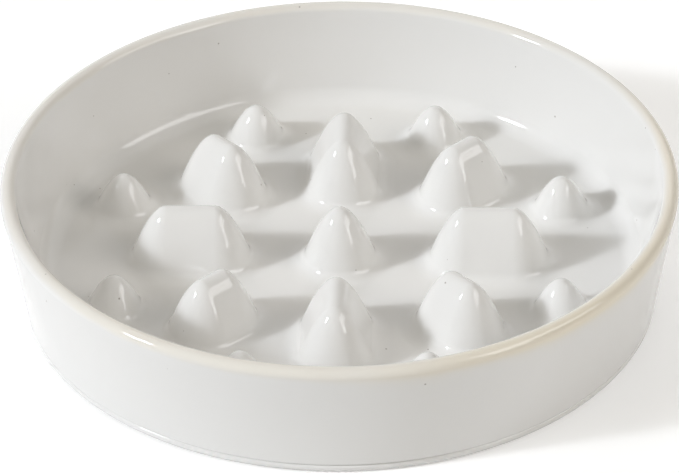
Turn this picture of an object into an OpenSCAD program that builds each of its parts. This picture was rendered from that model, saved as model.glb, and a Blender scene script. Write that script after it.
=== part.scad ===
// Glazed stoneware slow feeder bowl.
// A low round bowl with a sloping wall and a full-round coloured lip. Its flat floor carries
// a field of bell-shaped bumps: a cone in the middle, long and short radial ridges by turns
// round it, and a ring of low cones near the wall. Food lies in the channels between them.
// The origin is on the table, on the bowl's axis. +Z is up, and +X runs along a long ridge.
// Lengths are in millimetres and angles in degrees.

/* [Wall] */
// Height of the bowl from the table to the top of the lip
bowl_h = 40.5; // [36:0.5:50]
// Slope of the wall's outer face from upright
wall_lean = 9.8; // [6:0.1:13]
// Thickness of the wall at the lip, which is fully rounded over
lip_t = 4.8; // [4:0.1:6]
// Height of the coloured glaze band round the lip
lip_h = 5; // [4:0.1:8]
// Thickness of the wall at its foot, measured level, outside the cove
wall_base_t = 4.3; // [3.5:0.1:6]
// Radius of the cove between the floor and the wall
cove_r = 6.6; // [4:0.1:8]
// Radius of the wall's bottom outer edge, which turns in to the crease above the foot ring
edge_r = 0.8; // [0.5:0.1:1.5]

/* [Floor and foot] */
// Height of the eating floor above the table
floor_z = 10.6; // [9:0.1:13]
// Thickness of the floor
floor_t = 6.4; // [5.5:0.1:7]
// Height of the foot ring, a low bead level with the wall's outer face
foot_h = 3; // [2.4:0.1:3.4]
// Radius of the foot ring's upper outer edge, below the crease
foot_bead_r = 0.9; // [0.5:0.1:1.2]
// Width of the rounded shoulder between the recess underneath and the foot ring
shoulder_w = 3; // [2:0.1:4]
// Radius of the foot ring's inner bottom edge
foot_edge_r = 0.5; // [0.2:0.1:0.8]

/* [Bumps] */
// Height of the middle cone and of the ridges above the floor
tall_h = 19; // [16:0.1:21]
// Height of the low cones above the floor
low_h = 12.3; // [10:0.1:14]
// Width that the rounded crown of a bump aims at before the sides take over, as a radius
crown_r = 6.1; // [5:0.1:6.5]
// Depth over which a crown rounds into its sides
crown_depth = 6.5; // [5:0.1:8]
// Slope of a bump's sides from upright
side_draft = 17.3; // [14:0.1:20]
// Radius of the fillet between a bump and the floor
foot_fillet_r = 3; // [2:0.1:3.5]

/* [Ridges and channels] */
// Width of the channel between the middle cone and the long ridges, at the floor
middle_channel_w = 10.3; // [8:0.1:14]
// Length of a long ridge's crest
long_crest_l = 14.3; // [10:0.1:20]
// Width of the channel between a long ridge and the edge of the flat floor
outer_channel_w = 18.6; // [16:0.1:24]
// How much further out the short ridges start than the long ones
short_setback = 10.5; // [8:0.1:13]
// Length of a short ridge's crest
short_crest_l = 7.4; // [4:0.1:9]
// Distance from the foot of a low cone to the edge of the flat floor
low_outer_w = 1.1; // [0.5:0.1:3]

/* [Hidden] */

// The pattern repeats eight times: ridges on the spokes, low cones half a spoke round
spokes = 8;
spoke_angle = 360 / spokes;

glaze = [0.93, 0.92, 0.90];
lip_glaze = [0.87, 0.81, 0.71];

// Smoothness of round shapes: facets of a turn, steps of a crown, and steps of an arc
$fn = 96;
bell_steps = 14;
arc_steps = 10;

// A point on a circle in the profile plane, and an arc of such points
function on_circle(r, z, radius, a) = [r + radius * cos(a), z + radius * sin(a)];
function arc(r, z, radius, a0, a1) = [
    for (i = [0:arc_steps]) on_circle(r, z, radius, a0 + (a1 - a0) * i / arc_steps)
];

// Bell profile of every bump: its radius at a depth below its top
function bell_r(depth) = (crown_r + depth * tan(side_draft)) * sqrt(1 - exp(-depth / crown_depth));

// Where the bell meets its foot fillet, and the radius of the fillet's edge on the floor
fillet_join_h = foot_fillet_r * (1 - sin(side_draft));
function fillet_mid_r(h) = bell_r(h - fillet_join_h) + foot_fillet_r * cos(side_draft);

// Places along a spoke, from the middle outwards. They set how wide the flat floor has to be.
tall_foot_r = fillet_mid_r(tall_h);
long_start = 2 * tall_foot_r + middle_channel_w;
long_end = long_start + long_crest_l;
short_start = long_start + short_setback;
short_end = short_start + short_crest_l;
floor_r = long_end + tall_foot_r + outer_channel_w;
low_ring_r = floor_r - low_outer_w - fillet_mid_r(low_h);
floor_under_z = floor_z - floor_t;

// Outer face of the wall: straight, from the base up to a tangent point on the lip's circle
base_r = floor_r + cove_r + wall_base_t;
lip_r = lip_t / 2;
lip_mid_z = bowl_h - lip_r;
lip_mid_r = base_r + lip_mid_z * tan(wall_lean) - lip_r / cos(wall_lean);
lip_z = bowl_h - lip_h;
function wall_out_r(z) = base_r + z * tan(wall_lean);

// Inner face of the wall: straight, between tangent points on the cove and on the lip's circle
cove_mid_r = floor_r;
cove_mid_z = floor_z + cove_r;
cove_to_lip = [lip_mid_r - cove_mid_r, lip_mid_z - cove_mid_z];
wall_in_a = atan2(cove_to_lip[1], cove_to_lip[0]) - acos((cove_r + lip_r) / norm(cove_to_lip));
cove_end = on_circle(cove_mid_r, cove_mid_z, cove_r, wall_in_a);
function wall_in_r(z) = cove_end[0] - (z - cove_end[1]) * tan(wall_in_a);

// Foot ring: its faces, and the radius of its lower outer edge, which takes up the rest of
// its height
foot_in_r = floor_r + shoulder_w;
foot_lower_r = foot_h - foot_bead_r;
foot_out_r = wall_out_r(foot_lower_r);

// Half outline of a bump of height h, from its top down to the floor
function bump_outline(h) = concat(
    [for (i = [0:bell_steps - 1])
        let (depth = (h - fillet_join_h) * pow(i / bell_steps, 2))
        [bell_r(depth), h - depth]],
    arc(fillet_mid_r(h), foot_fillet_r, foot_fillet_r, 180 + side_draft, 270)
);

// A round bump on the floor
module cone_bump(h) {
    translate([0, 0, floor_z])
        rotate_extrude()
            polygon(concat(bump_outline(h), [[0, 0]]));
}

// A ridge: the same bell drawn out along a spoke between two places, with half-round ends
module ridge_bump(h, start, end) {
    outline = bump_outline(h);
    mirrored = [for (i = [len(outline) - 1:-1:1]) [-outline[i][0], outline[i][1]]];
    translate([start, 0, floor_z]) {
        rotate([90, 0, 90])
            linear_extrude(end - start)
                polygon(concat(outline, mirrored));
        rotate([0, 0, 90])
            rotate_extrude(angle = 180)
                polygon(concat(outline, [[0, 0]]));
        translate([end - start, 0, 0])
            rotate([0, 0, -90])
                rotate_extrude(angle = 180)
                    polygon(concat(outline, [[0, 0]]));
    }
}

module side_wall() {
    color(glaze)
        rotate_extrude()
            polygon([
                cove_end,
                [wall_in_r(lip_z), lip_z],
                [wall_out_r(lip_z), lip_z],
                [wall_out_r(cove_end[1]), cove_end[1]]
            ]);
}

module rim_lip() {
    color(lip_glaze)
        rotate_extrude()
            polygon(concat(
                [[wall_in_r(lip_z), lip_z], [wall_out_r(lip_z), lip_z]],
                arc(lip_mid_r, lip_mid_z, lip_r, -wall_lean, 180 + wall_in_a)
            ));
}

// The corner that carries the wall, with the cove inside it
module corner_ring() {
    color(glaze)
        rotate_extrude()
            polygon(concat(
                // Shoulder of the recess underneath, from the foot ring in to the floor
                [for (i = [0:arc_steps])
                    let (a = 90 * i / arc_steps)
                    [floor_r + shoulder_w * cos(a), foot_h + (floor_under_z - foot_h) * sin(a)]],
                arc(cove_mid_r, cove_mid_z, cove_r, -90, wall_in_a),
                [[wall_out_r(cove_end[1]), cove_end[1]]],
                // Bottom outer edge
                arc(wall_out_r(foot_h + edge_r) - edge_r / cos(wall_lean),
                    foot_h + edge_r, edge_r, -wall_lean, -90)
            ));
}

module floor_disc() {
    color(glaze)
        translate([0, 0, floor_under_z])
            cylinder(h = floor_t, r = floor_r);
}

module foot_ring() {
    color(glaze)
        rotate_extrude()
            polygon(concat(
                [[foot_in_r, foot_h]],
                arc(foot_in_r + foot_edge_r, foot_edge_r, foot_edge_r, 180, 270),
                arc(foot_out_r - foot_lower_r, foot_lower_r, foot_lower_r, -90, 0),
                arc(foot_out_r - foot_bead_r, foot_lower_r, foot_bead_r, 0, 90)
            ));
}

module middle_cone() {
    color(glaze)
        cone_bump(tall_h);
}

// Odd ridges are the long ones, and ridge 1 lies along +X
module ridge(number) {
    is_long = number % 2 == 1;
    color(glaze)
        rotate([0, 0, spoke_angle * (number - 1)])
            if (is_long)
                ridge_bump(tall_h, long_start, long_end);
            else
                ridge_bump(tall_h, short_start, short_end);
}

module low_cone(number) {
    color(glaze)
        rotate([0, 0, spoke_angle * (number - 1 / 2)])
            translate([low_ring_r, 0, 0])
                cone_bump(low_h);
}

side_wall();
rim_lip();
corner_ring();
floor_disc();  // floor
foot_ring();
middle_cone();
for (number = [1:spokes]) {
    ridge(number);
    low_cone(number);
}
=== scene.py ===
# Glazed stoneware slow feeder bowl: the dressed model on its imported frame.
# Lengths are in metres, in the frame of the solids: the origin is on the table, on the bowl's
# axis, +Z is up, and +X runs along a long ridge.
import math

import bpy
import numpy as np
from mathutils import Matrix, Vector


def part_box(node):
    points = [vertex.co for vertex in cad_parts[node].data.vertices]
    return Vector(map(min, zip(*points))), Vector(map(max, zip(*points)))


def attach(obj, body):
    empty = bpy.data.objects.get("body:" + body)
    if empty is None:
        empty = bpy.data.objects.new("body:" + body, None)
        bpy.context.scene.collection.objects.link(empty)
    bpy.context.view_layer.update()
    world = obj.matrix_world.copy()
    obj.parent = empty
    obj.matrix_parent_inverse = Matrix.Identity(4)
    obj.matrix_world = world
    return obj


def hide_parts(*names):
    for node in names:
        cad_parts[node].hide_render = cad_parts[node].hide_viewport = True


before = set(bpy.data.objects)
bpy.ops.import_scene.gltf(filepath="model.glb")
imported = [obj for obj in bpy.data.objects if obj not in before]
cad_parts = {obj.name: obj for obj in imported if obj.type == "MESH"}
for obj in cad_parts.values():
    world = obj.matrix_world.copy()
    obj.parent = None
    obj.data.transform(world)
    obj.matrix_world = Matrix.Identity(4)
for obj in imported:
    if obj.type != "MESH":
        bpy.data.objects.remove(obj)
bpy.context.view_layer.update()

scene = bpy.context.scene
MM = 0.001

# Sizes and places from the frame's boxes

floor_lo, floor_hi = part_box("floor")
wall_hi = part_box("side_wall")[1]
lip_lo, lip_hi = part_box("rim_lip")
foot_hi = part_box("foot_ring")[1]
cone_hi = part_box("middle_cone")[1]
long_lo, long_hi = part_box("ridge_1")
short_lo, short_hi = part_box("ridge_2")
low_lo, low_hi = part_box("low_cone_1")

floor_r, floor_z, floor_under_z = floor_hi.x, floor_hi.z, floor_lo.z
lip_z, lip_top = lip_lo.z, lip_hi.z
foot_h, foot_out_r = foot_hi.z, foot_hi.x
tall_h = cone_hi.z - floor_z
low_h = low_hi.z - floor_z
tall_foot_r = cone_hi.x

# A ridge lies along each of eight spokes, long and short by turns, with a low cone between each
# two. These are the places along a spoke where a ridge's round ends have their middles, and how
# far out the low cones stand.
SPOKES = 8
SPOKE_ANGLE = 2 * math.pi / SPOKES
long_start, long_end = long_lo.x + tall_foot_r, long_hi.x - tall_foot_r
short_start = (short_lo.x + tall_foot_r) / math.cos(SPOKE_ANGLE)
short_end = (short_hi.x - tall_foot_r) / math.cos(SPOKE_ANGLE)
low_ring_r = (low_lo.x + low_hi.x) / 2 / math.cos(SPOKE_ANGLE / 2)

# Sizes that no box gives, the same as in the solids

wall_lean = math.radians(9.8)
lip_r = 2.4 * MM
cove_r = 6.6 * MM
edge_r = 0.8 * MM
shoulder_w = 3 * MM
foot_bead_r = 0.9 * MM
foot_edge_r = 0.5 * MM
crown_r = 6.1 * MM
crown_depth = 6.5 * MM
side_draft = math.radians(17.3)

# The glaze pools at a bump's foot. The foot leaves the bump's side at this height and runs out
# this far beyond where the side, carried on straight, would meet the floor.
pool_h = 3 * MM
pool_run = 4.6 * MM

# Bumps reach this far into the floor, so that no seam shows round them
SINK = 0.3 * MM

# Points that are the same to this are joined
WELD = MM / 10000

# Outlines

# A run is a list of (r, z, normal's r, normal's z), along which the surface is smooth, and an
# outline is a list of runs with a crease between one and the next. Each goes clockwise, with r to
# the right and z up, so the outside is on its left.


def arc(mid, radius, a0, a1, steps=12):
    """Part of a circle: clockwise round the solid's own edge, anticlockwise round a hollow."""
    side = 1 if a1 < a0 else -1
    angles = [a0 + (a1 - a0) * i / steps for i in range(steps + 1)]
    return [
        (mid[0] + radius * math.cos(a), mid[1] + radius * math.sin(a),
         side * math.cos(a), side * math.sin(a))
        for a in angles
    ]


def line(start, end):
    """A straight run, with its normal to its left."""
    length = math.dist(start, end)
    normal = (-(end[1] - start[1]) / length, (end[0] - start[0]) / length)
    return [(*start, *normal), (*end, *normal)]


def bell_r(depth):
    """How far out a bump's side is at a depth below its top. A round crown closes the side."""
    return (crown_r + depth * math.tan(side_draft)) * math.sqrt(1 - math.exp(-depth / crown_depth))


def bell_slope(depth):
    """How fast that grows with depth."""
    fade = math.exp(-depth / crown_depth)
    root = math.sqrt(1 - fade)
    side_r = crown_r + depth * math.tan(side_draft)
    return math.tan(side_draft) * root + side_r * fade / (2 * crown_depth * root)


def pool(h, steps=24):
    """The soft foot of a bump of height h, from its side out to the floor: part of a parabola."""
    slope = bell_slope(h - pool_h)
    r = bell_r(h - pool_h)
    corner = r + pool_h * slope
    end = corner + pool_run
    points = []
    for i in range(1, steps + 1):
        t = i / steps
        back_t = 1 - t
        z = pool_h * back_t ** 2
        out = (corner - r) * back_t + (end - corner) * t
        down = pool_h * back_t
        length = math.hypot(out, down)
        points.append((r * back_t ** 2 + 2 * corner * t * back_t + end * t ** 2, floor_z + z,
                       down / length, out / length))
    return points


def bump_outline(h, steps=30):
    """A bump of height h: the bell, the glaze pooled at its foot, and its hidden underside."""
    bell = [(0, floor_z + h, 0, 1)]
    for i in range(1, steps + 1):
        depth = (h - pool_h) * (i / steps) ** 2
        lean = math.atan(bell_slope(depth))
        bell.append((bell_r(depth), floor_z + h - depth, math.cos(lean), math.sin(lean)))
    skin = bell + pool(h)
    edge = skin[-1][:2]
    under = (edge[0], floor_z - SINK)
    return [skin, line(edge, under), line(under, (0, floor_z - SINK))]


# Paths that an outline is carried round


def circle(mid=(0, 0), steps=96):
    """The middle of the turn and the way outwards, at each step."""
    a = np.linspace(0, 2 * math.pi, steps, endpoint=False)
    return np.tile(mid, (steps, 1)), np.column_stack([np.cos(a), np.sin(a)])


def stadium(angle, start, end, turn_steps=48, side_steps=10):
    """The same round a ridge that lies along a spoke between two places."""
    turn = np.linspace(-math.pi / 2, math.pi / 2, turn_steps + 1)
    slide = np.linspace(0, 1, side_steps + 1)[1:-1]
    still = np.full(side_steps - 1, math.pi / 2)
    a = angle + np.concatenate([turn, still, turn + math.pi, -still])
    along = np.concatenate([
        np.full(turn_steps + 1, end), end + (start - end) * slide,
        np.full(turn_steps + 1, start), start + (end - start) * slide,
    ])
    spoke = np.array([math.cos(angle), math.sin(angle)])
    return along[:, None] * spoke, np.column_stack([np.cos(a), np.sin(a)])


def swept(outline, path):
    """Points, faces and corner normals of an outline carried round a path."""
    mids, ways = path
    count = len(ways)
    points, faces, normals = [], [], []
    for run in outline:
        first = sum(len(p) for p in points)
        for r, z, _, _ in run:
            points.append(np.column_stack([mids + ways * r, np.full(count, z)]))
        leans = [np.column_stack([ways * nr, np.full(count, nz)]) for _, _, nr, nz in run]
        for i in range(len(run) - 1):
            for j in range(count):
                corners = ((i, j), (i + 1, j), (i + 1, (j + 1) % count), (i, (j + 1) % count))
                faces.append([first + a * count + b for a, b in corners])
                normals.append([leans[a][b] for a, b in corners])
    return np.concatenate(points), faces, normals


def welded(points, faces, normals):
    """The same with coinciding points joined, and the corners and faces that this empties left out."""
    grid = np.round(points / WELD).astype(np.int64)
    _, first, index = np.unique(grid, axis=0, return_index=True, return_inverse=True)
    index = index.ravel().tolist()
    kept_faces, kept_normals = [], []
    for face, leans in zip(faces, normals):
        ids = [index[v] for v in face]
        keep = [i for i in range(len(ids)) if ids[i] != ids[i - 1]]
        if len(keep) > 2:
            kept_faces.append([ids[i] for i in keep])
            kept_normals.extend(leans[i] for i in keep)
    return points[first], kept_faces, kept_normals


def piece(node, outline, path, material=None):
    """A closed piece that stands for one node of the frame."""
    name = node + "_glazed"
    points, faces, normals = welded(*swept(outline, path))
    mesh = bpy.data.meshes.new(name)
    mesh.from_pydata(points.tolist(), [], faces)
    mesh.shade_smooth()
    mesh.normals_split_custom_set(normals)
    mesh.materials.append(material or white)
    made = bpy.data.objects.new(name, mesh)
    scene.collection.objects.link(made)
    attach(made, "root")
    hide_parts(node)
    return made


# The wall's outer face, and the tangent line between the cove and the lip inside

base_r = wall_hi.x - lip_z * math.tan(wall_lean)


def wall_out(z):
    return (base_r + z * math.tan(wall_lean), z)


lip_mid = (wall_out(lip_top - lip_r)[0] - lip_r / math.cos(wall_lean), lip_top - lip_r)
cove_mid = (floor_r, floor_z + cove_r)
cove_to_lip = (lip_mid[0] - cove_mid[0], lip_mid[1] - cove_mid[1])
tangent_turn = math.acos((cove_r + lip_r) / math.hypot(*cove_to_lip))
wall_in_a = math.atan2(cove_to_lip[1], cove_to_lip[0]) - tangent_turn
cove_end = (cove_mid[0] + cove_r * math.cos(wall_in_a), cove_mid[1] + cove_r * math.sin(wall_in_a))


def wall_in(z):
    return (cove_end[0] - (z - cove_end[1]) * math.tan(wall_in_a), z)


# Glazes

# A scale is how many of a pattern's features fit in a metre
WHITE_THIN = (0.80, 0.792, 0.776, 1)
WHITE_THICK = (0.82, 0.812, 0.796, 1)
CREAM_THIN = (0.82, 0.745, 0.60, 1)
CREAM_THICK = (0.84, 0.77, 0.63, 1)
CLAY = (0.60, 0.53, 0.44, 1)
SPECK = (0.30, 0.27, 0.23, 1)

# Where noise sets an amount, anything past these counts as its least or its most
NOISE_LOW, NOISE_HIGH = 0.3, 0.7
CLOUD_SCALE = 35

# The cream band goes round the lip's own circle. Angles there are from level outwards, over the
# top to level inwards. The band sits further out on the side that the bowl drained to, and
# further in on the other: each pair below is an angle on that side and on the other.
DRAINED = math.radians(322)
BAND_OUT_END = (math.radians(-88), math.radians(35))
BAND_OUT_FULL = (math.radians(-5), math.radians(92))
BAND_IN_FULL = (math.radians(66), math.radians(140))
BAND_IN_END = (math.radians(158), math.radians(178))
BAND_WAVE = math.radians(12)
BAND_WAVE_SCALE = 28

# How strong the cream is: this much all round, and more towards some sides. Each of those has its
# angle, the cosine of the angle from it at which more begins, and how much more there is.
CREAM_LEAST = 0.26
CREAM_SIDES = ((math.radians(280), 0.3, 0.16), (math.radians(338), 0.45, 0.48))
CREAM_WAVE = 0.07
CREAM_WAVE_SCALE = 20

# Sparse iron specks under the glaze: how many cells a metre holds, the share of cells with a
# speck, how far from its middle, in cells, a speck has faded out and is full, and its strength
SPECK_SCALE = 400
SPECK_SHARE = 0.025
SPECK_EDGE = (0.15, 0.09)
SPECK_STRENGTH = 0.7

# The foot ring's contact face is wiped free of glaze: partly up to the first height, and fully
# up to the second
WIPED_H = 0.25 * MM
WIPED_FULL_H = 0.15 * MM

GLAZE_ROUGHNESS = 0.045
CLAY_ROUGHNESS = 0.75
GLAZE_IOR = 1.5

# The glaze's surface swells faintly
SWELL_SCALE = 70
SWELL_STRENGTH = 0.15
SWELL_H = 0.3 * MM


def glaze(name):
    """Clear warm white glaze over pale clay, with the cream band round the lip."""
    material = bpy.data.materials.new(name)
    material.use_nodes = True
    nodes, links = material.node_tree.nodes, material.node_tree.links
    nodes.clear()

    def node(kind, inputs=(), **settings):
        made = nodes.new("ShaderNode" + kind)
        for key, value in settings.items():
            setattr(made, key, value)
        for key, value in dict(inputs).items():
            if isinstance(value, bpy.types.NodeSocket):
                links.new(value, made.inputs[key])
            else:
                made.inputs[key].default_value = value
        return made

    def math_node(operation, *inputs):
        return node("Math", dict(enumerate(inputs)), operation=operation).outputs[0]

    def mapped(value, low, high, to_low=0.0, to_high=1.0):
        """A smooth step of the value from one limit to the other."""
        spans = {"Value": value, "From Min": low, "From Max": high, "To Min": to_low, "To Max": to_high}
        return node("MapRange", spans, interpolation_type="SMOOTHSTEP").outputs[0]

    def noise(scale, detail=2.0):
        return node("TexNoise", {"Vector": place, "Scale": scale, "Detail": detail}).outputs["Fac"]

    def mixed(amount, first, second):
        return node("Mix", {0: amount, 6: first, 7: second}, data_type="RGBA").outputs[2]

    def along(angle):
        """How far a point lies to one side of the bowl, from -1 to 1 at the lip."""
        way = (math.cos(angle) / lip_mid[0], math.sin(angle) / lip_mid[0], 0)
        return node("VectorMath", {0: place, 1: way}, operation="DOT_PRODUCT").outputs["Value"]

    place = node("TexCoord").outputs["Object"]
    flat = node("VectorMath", {0: place, 1: (1, 1, 0)}, operation="MULTIPLY").outputs["Vector"]
    radius = node("VectorMath", {0: flat}, operation="LENGTH").outputs["Value"]
    height = node("SeparateXYZ", {0: place}).outputs["Z"]
    clouds = noise(CLOUD_SCALE)
    white_colour = mixed(clouds, WHITE_THIN, WHITE_THICK)
    cream_colour = mixed(clouds, CREAM_THIN, CREAM_THICK)

    # Where the cream band is, and how strong
    outwards = math_node("SUBTRACT", radius, lip_mid[0])
    round_lip = math_node("ARCTAN2", math_node("SUBTRACT", height, lip_mid[1]), outwards)
    wave = mapped(noise(BAND_WAVE_SCALE, detail=3), NOISE_LOW, NOISE_HIGH, -BAND_WAVE, BAND_WAVE)
    wavy = math_node("ADD", round_lip, wave)
    away = node("MapRange", {"Value": along(DRAINED), "From Min": 1, "From Max": -1}).outputs[0]

    def between(pair):
        """The pair's first angle on the drained side, its second on the other, and between."""
        return math_node("MULTIPLY_ADD", away, pair[1] - pair[0], pair[0])

    outside = mapped(wavy, between(BAND_OUT_END), between(BAND_OUT_FULL))
    inside = mapped(wavy, between(BAND_IN_END), between(BAND_IN_FULL))
    patches = noise(CREAM_WAVE_SCALE)
    strength = mapped(patches, NOISE_LOW, NOISE_HIGH, CREAM_LEAST - CREAM_WAVE, CREAM_LEAST + CREAM_WAVE)
    for side, begin, amount in CREAM_SIDES:
        strength = math_node("ADD", strength, mapped(along(side), begin, 1, 0, amount))
    band = math_node("MULTIPLY", math_node("MULTIPLY", outside, inside), strength)
    colour = mixed(band, white_colour, cream_colour)

    cells = node("TexVoronoi", {"Vector": place, "Scale": SPECK_SCALE})
    draw = node("SeparateColor", {0: cells.outputs["Color"]}).outputs[0]
    chosen = math_node("GREATER_THAN", draw, 1 - SPECK_SHARE)
    dot = mapped(cells.outputs["Distance"], *SPECK_EDGE, 0, SPECK_STRENGTH)
    colour = mixed(math_node("MULTIPLY", chosen, dot), colour, SPECK)

    # The wiped foot shows dry clay
    wiped = mapped(height, WIPED_H, WIPED_FULL_H)
    colour = mixed(wiped, colour, CLAY)
    roughness = mapped(wiped, 0, 1, GLAZE_ROUGHNESS, CLAY_ROUGHNESS)

    swell = {"Strength": SWELL_STRENGTH, "Distance": SWELL_H, "Height": noise(SWELL_SCALE, detail=1)}
    finish = {
        "Base Color": colour, "Roughness": roughness, "IOR": GLAZE_IOR,
        "Normal": node("Bump", swell).outputs["Normal"],
    }
    node("OutputMaterial", {"Surface": node("BsdfPrincipled", finish).outputs[0]})
    return material


white = glaze("glaze_over_white")
cream = glaze("glaze_over_cream")

ROUND = circle(steps=288)
inner_face = line(cove_end, wall_in(lip_z))
outer_face = line(wall_out(lip_z), wall_out(cove_end[1]))

piece("rim_lip", [
    inner_face[1:] + arc(lip_mid, lip_r, math.pi + wall_in_a, -wall_lean, steps=24) + outer_face[:1],
    line(wall_out(lip_z), wall_in(lip_z)),
], ROUND, cream)

piece("side_wall", [
    inner_face,
    line(wall_in(lip_z), wall_out(lip_z)),
    outer_face,
    line(wall_out(cove_end[1]), cove_end),
], ROUND)

foot_in_r = floor_r + shoulder_w
edge_mid = (wall_out(foot_h + edge_r)[0] - edge_r / math.cos(wall_lean), foot_h + edge_r)
shoulder_h = floor_under_z - foot_h


def shoulder(steps=12):
    """The quarter ellipse from the foot up to the underside of the floor."""
    points = []
    for i in range(steps + 1):
        a = math.pi / 2 * i / steps
        lean_r, lean_z = shoulder_h * math.cos(a), shoulder_w * math.sin(a)
        length = math.hypot(lean_r, lean_z)
        points.append((floor_r + shoulder_w * math.cos(a), foot_h + shoulder_h * math.sin(a),
                       -lean_r / length, -lean_z / length))
    return points


piece("corner_ring", [
    arc(cove_mid, cove_r, -math.pi / 2, wall_in_a, steps=24),
    line(cove_end, wall_out(cove_end[1])),
    outer_face[1:] + arc(edge_mid, edge_r, -wall_lean, -math.pi / 2) + [(foot_in_r, foot_h, 0, -1)],
    shoulder(),
    line((floor_r, floor_under_z), (floor_r, floor_z)),
], ROUND)

lower_r = foot_h - foot_bead_r
piece("foot_ring", [
    line((foot_in_r, foot_h), (foot_out_r - foot_bead_r, foot_h))
    + arc((foot_out_r - foot_bead_r, lower_r), foot_bead_r, math.pi / 2, 0)
    + arc((foot_out_r - lower_r, lower_r), lower_r, 0, -math.pi / 2)
    + arc((foot_in_r + foot_edge_r, foot_edge_r), foot_edge_r, -math.pi / 2, -math.pi)
    + [(foot_in_r, foot_h, -1, 0)],
], ROUND)

piece("floor", [
    line((0, floor_z), (floor_r, floor_z)),
    line((floor_r, floor_z), (floor_r, floor_under_z)),
    line((floor_r, floor_under_z), (0, floor_under_z)),
], ROUND)

# Bumps

# Odd ridges are the long ones, and ridge 1 lies along +X
tall_outline, low_outline = bump_outline(tall_h), bump_outline(low_h)
piece("middle_cone", tall_outline, circle())
for number in range(1, SPOKES + 1):
    start, end = (long_start, long_end) if number % 2 else (short_start, short_end)
    piece(f"ridge_{number}", tall_outline,
          stadium(SPOKE_ANGLE * (number - 1), start, end))
    a = SPOKE_ANGLE * (number - 0.5)
    piece(f"low_cone_{number}", low_outline,
          circle((low_ring_r * math.cos(a), low_ring_r * math.sin(a))))

# Table

# It is white for the camera and keeps the bowl's shadow. It is open where the bowl stands on it,
# and clear from below, so that the bowl's underside can be looked at.


def seen_directly(tree):
    """One where the camera, a reflection or a refraction looks, and zero for the light itself."""
    path = tree.nodes.new("ShaderNodeLightPath")
    total = path.outputs["Is Camera Ray"]
    for kind in ("Is Glossy Ray", "Is Transmission Ray"):
        largest = tree.nodes.new("ShaderNodeMath")
        largest.operation = "MAXIMUM"
        tree.links.new(total, largest.inputs[0])
        tree.links.new(path.outputs[kind], largest.inputs[1])
        total = largest.outputs[0]
    return total


TABLE_R = 4
TABLE_COLOUR = (0.85, 0.85, 0.85, 1)
TABLE_ROUGHNESS = 0.9
TABLE_GLOW = 0.3


def paper():
    """Matt white, with a glow where it is seen directly, and clear from below."""
    material = bpy.data.materials.new("paper")
    material.use_nodes = True
    tree = material.node_tree
    matt = tree.nodes["Principled BSDF"]
    matt.inputs["Base Color"].default_value = TABLE_COLOUR
    matt.inputs["Roughness"].default_value = TABLE_ROUGHNESS
    scaled = tree.nodes.new("ShaderNodeMath")
    scaled.operation = "MULTIPLY"
    scaled.inputs[1].default_value = TABLE_GLOW
    tree.links.new(seen_directly(tree), scaled.inputs[0])
    glow = tree.nodes.new("ShaderNodeEmission")
    tree.links.new(scaled.outputs[0], glow.inputs["Strength"])
    both = tree.nodes.new("ShaderNodeAddShader")
    tree.links.new(matt.outputs[0], both.inputs[0])
    tree.links.new(glow.outputs[0], both.inputs[1])
    from_below = tree.nodes.new("ShaderNodeMixShader")
    tree.links.new(tree.nodes.new("ShaderNodeNewGeometry").outputs["Backfacing"], from_below.inputs[0])
    tree.links.new(both.outputs[0], from_below.inputs[1])
    tree.links.new(tree.nodes.new("ShaderNodeBsdfTransparent").outputs[0], from_below.inputs[2])
    tree.links.new(from_below.outputs[0], tree.nodes["Material Output"].inputs["Surface"])
    return material


stood_on_r = foot_out_r - lower_r
points, faces, _ = swept([line((stood_on_r, 0), (TABLE_R, 0))], ROUND)
table_mesh = bpy.data.meshes.new("table")
table_mesh.from_pydata(points.tolist(), [], faces)
table_mesh.materials.append(paper())
table_top = bpy.data.objects.new("table", table_mesh)
scene.collection.objects.link(table_top)

# Camera, at the photograph's angle

AIM = Vector((0, 0, 20.4 * MM))
DISTANCE = 2.0774
ELEVATION = math.radians(33.8256)
AZIMUTH = math.radians(1.93)
PAN, TILT, ROLL = (math.radians(a) for a in (0.003, -0.026, 0.671))
SENSOR_WIDTH = 36
FOCAL_LENGTH = 364.46

back = Vector((
    math.sin(AZIMUTH) * math.cos(ELEVATION),
    -math.cos(AZIMUTH) * math.cos(ELEVATION),
    math.sin(ELEVATION),
))
forward = -back
right = forward.cross(Vector((0, 0, 1))).normalized()
up = right.cross(forward)
for turn, axis_index in ((PAN, 1), (TILT, 0), (ROLL, 2)):
    axis = (right, up, forward)[axis_index].copy()
    turned = Matrix.Rotation(turn, 3, axis)
    right, up, forward = turned @ right, turned @ up, turned @ forward
camera_data = bpy.data.cameras.new("camera")
camera_data.sensor_width = SENSOR_WIDTH
camera_data.lens = FOCAL_LENGTH
camera = bpy.data.objects.new("camera", camera_data)
facing = Matrix((right, up, -forward)).transposed().to_4x4()
camera.matrix_world = Matrix.Translation(AIM + back * DISTANCE) @ facing
scene.collection.objects.link(camera)
scene.camera = camera

# Light

# The surroundings are white where they are seen, and light the bowl only faintly
AMBIENT = 0.12

world = bpy.data.worlds.new("studio")
world.use_nodes = True
scene.world = world
tree = world.node_tree
ambient = tree.nodes["Background"]
ambient.inputs["Color"].default_value = (1, 1, 1, 1)
ambient.inputs["Strength"].default_value = AMBIENT
surround = tree.nodes.new("ShaderNodeBackground")
choice = tree.nodes.new("ShaderNodeMixShader")
tree.links.new(seen_directly(tree), choice.inputs[0])
tree.links.new(ambient.outputs[0], choice.inputs[1])
tree.links.new(surround.outputs[0], choice.inputs[2])
tree.links.new(choice.outputs[0], tree.nodes["World Output"].inputs["Surface"])


def way_to(azimuth, elevation):
    """The way to a place in the sky. Azimuth goes from +X towards +Y, in degrees."""
    a, e = math.radians(azimuth), math.radians(elevation)
    return Vector((math.cos(a) * math.cos(e), math.sin(a) * math.cos(e), math.sin(e)))


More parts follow.
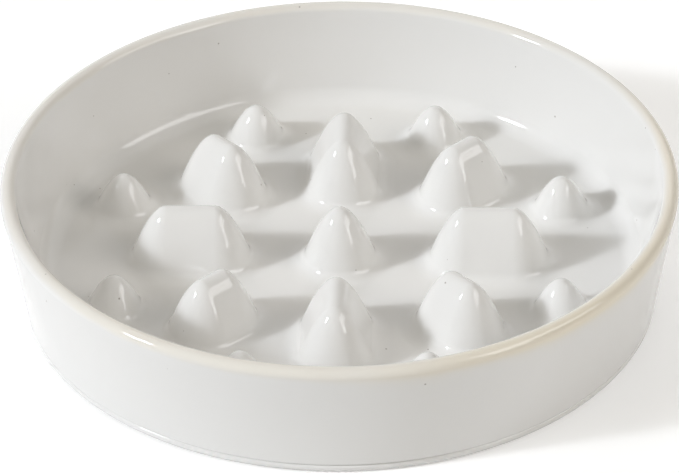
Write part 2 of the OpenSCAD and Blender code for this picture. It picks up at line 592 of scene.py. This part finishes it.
def lamp(name, data, azimuth, elevation, distance=0):
    made = bpy.data.objects.new(name, data)
    way = way_to(azimuth, elevation)
    made.location = way * distance
    made.rotation_euler = way.to_track_quat("Z", "Y").to_euler()
    scene.collection.objects.link(made)
    return made


def sun(name, azimuth, elevation, width, strength, colour):
    """A far disc of light, as wide in the sky as its width in degrees."""
    data = bpy.data.lights.new(name, "SUN")
    data.energy, data.angle, data.color = strength, math.radians(width), colour
    return lamp(name, data, azimuth, elevation)


def fill(*values):
    """A sun that lights without showing in the glaze, which mirrors the white surroundings there."""
    made = sun(*values)
    made.visible_glossy = False


def face(*values):
    """A sun that shows in the glaze only."""
    made = sun(*values)
    made.visible_diffuse = False


def window(name, azimuth, elevation, width, height, strength, distance=1.2):
    """A rectangle of light that shows in the glaze only. Its strength is as for a sun."""
    data = bpy.data.lights.new(name, "AREA")
    data.shape = "RECTANGLE"
    data.size = 2 * distance * math.tan(math.radians(width / 2))
    data.size_y = 2 * distance * math.tan(math.radians(height / 2))
    data.energy = strength * math.pi * distance ** 2
    made = lamp(name, data, azimuth, elevation, distance)
    made.visible_diffuse = False


COOL = (0.96, 1.005, 1.07)
PLAIN = (1.025, 0.995, 0.99)
WARM = (1.045, 0.995, 0.88)

# A small bright key is on the left, and large soft lamps are on the other sides. The glaze mirrors
# a face for the key, and a window in two parts. A sun has its azimuth, elevation and width in
# degrees, its strength and its colour. A window, which is white, has a height after its width.
fill("key", 201, 28.5, 5, 1.02, COOL)
face("key_face", 201, 30.5, 10, 1.0, COOL)
fill("key_glow", 201, 28.5, 17, 0.88, COOL)
fill("left", 208, 23, 30, 0.2, WARM)
fill("top_left", 180, 65, 60, 0.49, WARM)
fill("back", 98, 20, 40, 0.84, PLAIN)
fill("right", 338, 24, 40, 0.54, PLAIN)
fill("top_right", 338, 42, 40, 0.54, WARM)
fill("front", 275, 14, 30, 0.12, WARM)
window("window", 340, 35, 44, 20, 1.05)
window("window_foot", 325, 17, 14, 16, 0.28)

scene.view_settings.view_transform = "Standard"
